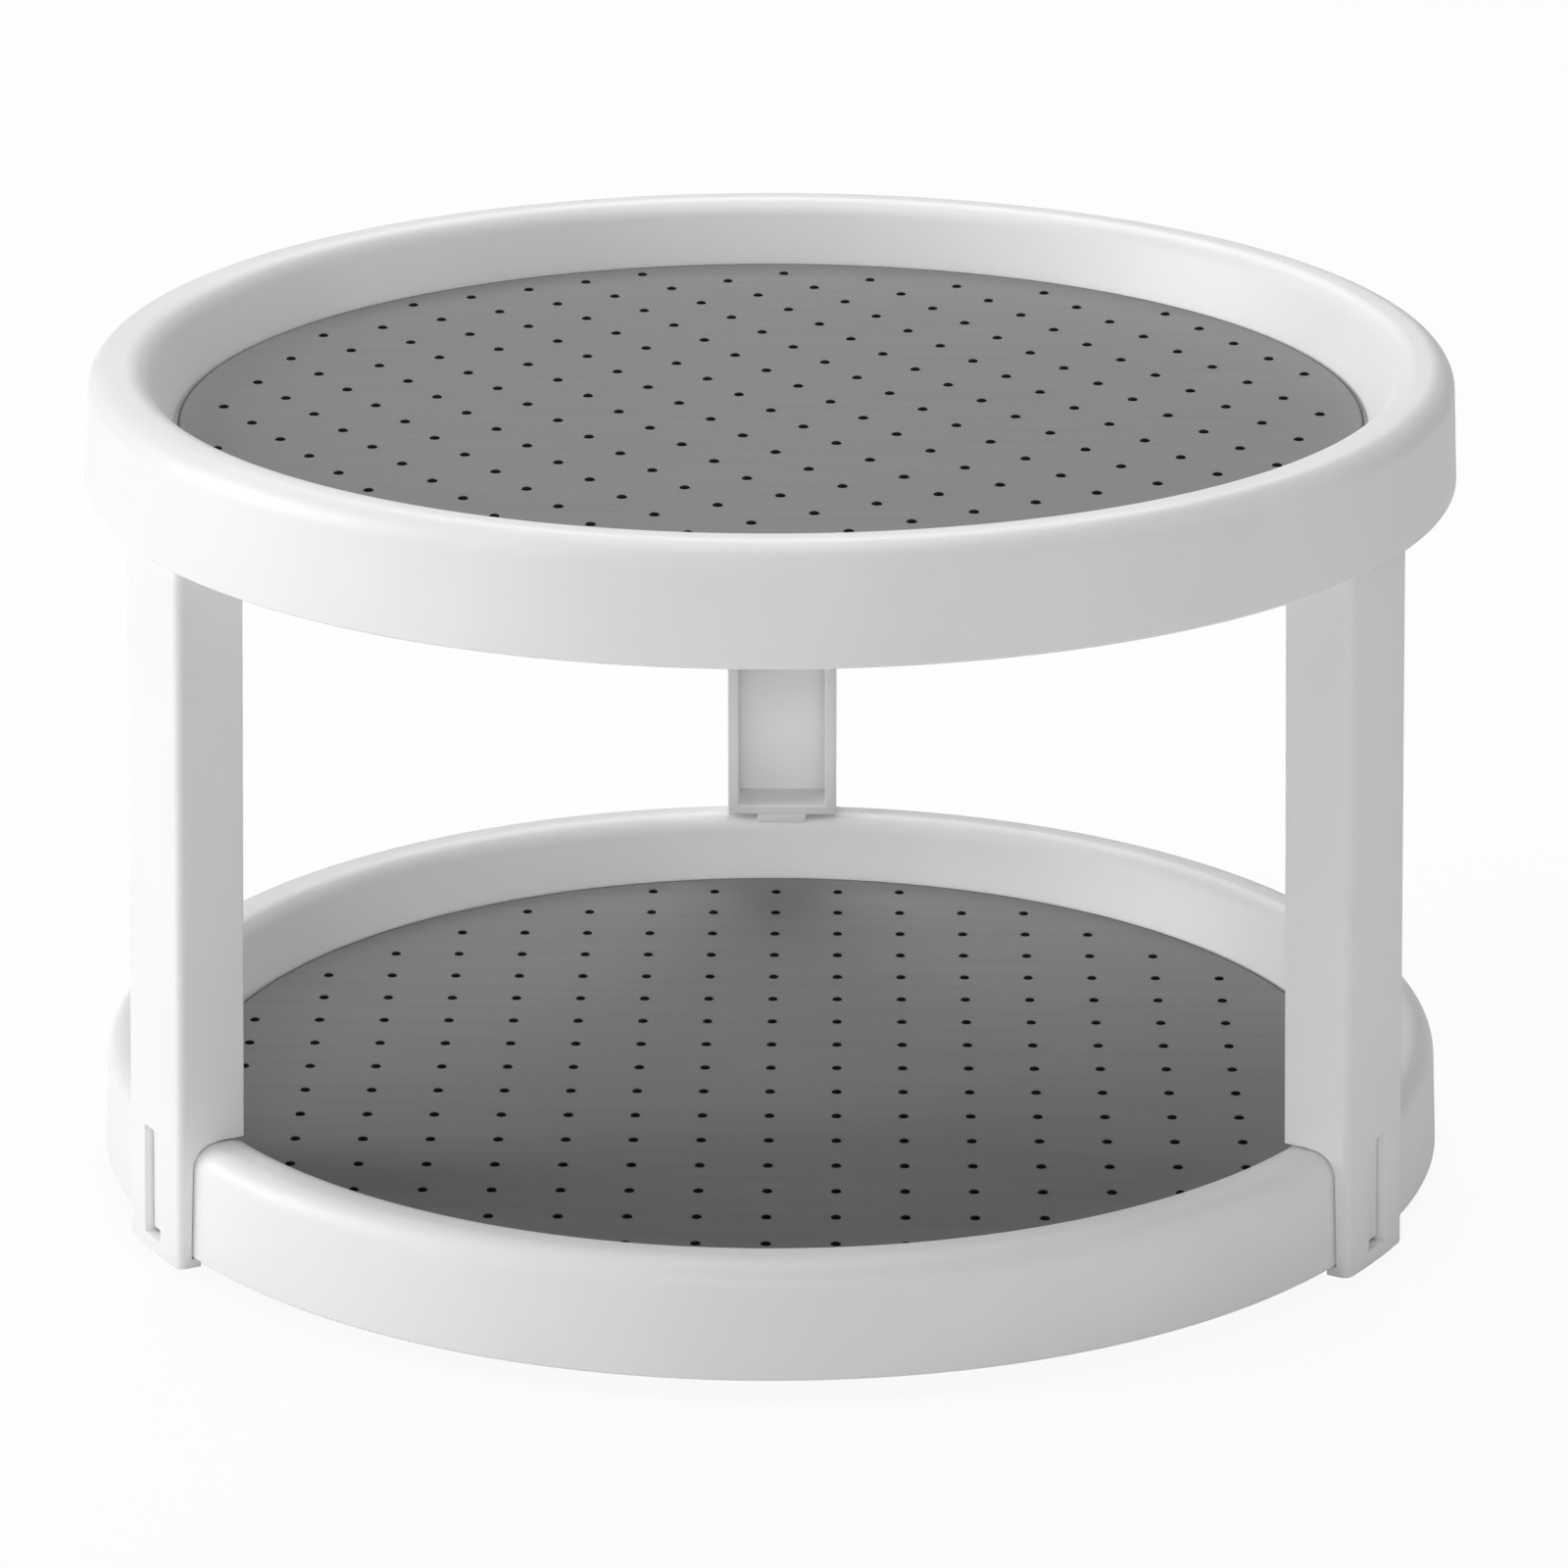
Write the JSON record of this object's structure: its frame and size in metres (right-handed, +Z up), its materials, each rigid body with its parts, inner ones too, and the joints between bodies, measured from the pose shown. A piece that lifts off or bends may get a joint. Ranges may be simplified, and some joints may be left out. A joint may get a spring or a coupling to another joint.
{
  "type": "two-tier lazy susan turntable",
  "caption": "Two-tier lazy susan: moulded round trays with dotted grip mats on channel legs, turning without limit on a ball race over a flat base plate.",
  "frame": {"origin": "on the spin axis, at the height of the table under the feet", "axes": "+Z up along the spin axis; +Y towards the rear leg, so that the open front faces -Y; +X to the right seen from the front"},
  "size_m": [0.304, 0.3073, 0.1871],
  "materials": {
    "white_plastic": "smooth moulded white plastic with a soft satin sheen",
    "cage_plastic": "unpolished natural white plastic",
    "mat": "matt grey grip mat with darker raised dots",
    "steel": "bright plated and polished steel",
    "foot_rubber": "matt dark grey rubber"
  },
  "bodies": {
    "base": {"base_plate": "white_plastic", "foot_1": "foot_rubber", "foot_2": "foot_rubber", "foot_3": "foot_rubber", "foot_4": "foot_rubber", "foot_5": "foot_rubber", "foot_6": "foot_rubber"},
    "turntable": {"upper_tray": "white_plastic", "upper_mat": "mat", "lower_tray": "white_plastic", "lower_mat": "mat", "leg_rear": "white_plastic", "leg_front_left": "white_plastic", "leg_front_right": "white_plastic", "pivot_washer": "steel", "pivot_screw": "steel"},
    "cage": {"ball_cage": "cage_plastic", "ball_1": "steel", "ball_2": "steel", "ball_3": "steel", "ball_4": "steel", "ball_5": "steel", "ball_6": "steel", "ball_7": "steel", "ball_8": "steel", "ball_9": "steel", "ball_10": "steel", "ball_11": "steel", "ball_12": "steel"}
  },
  "joints": [
    {"name": "tray_spin", "type": "hinge", "parent": "base", "child": "turntable", "pos_m": [0, 0, 0.005], "axis": [0, 0, 1], "continuous": true},
    {"name": "cage_spin", "type": "hinge", "parent": "base", "child": "cage", "pos_m": [0, 0, 0.0082], "axis": [0, 0, 1], "continuous": true}
  ],
  "couplings": [
    {"joint": "cage_spin", "follows": "tray_spin", "ratio": 0.5}
  ]
}
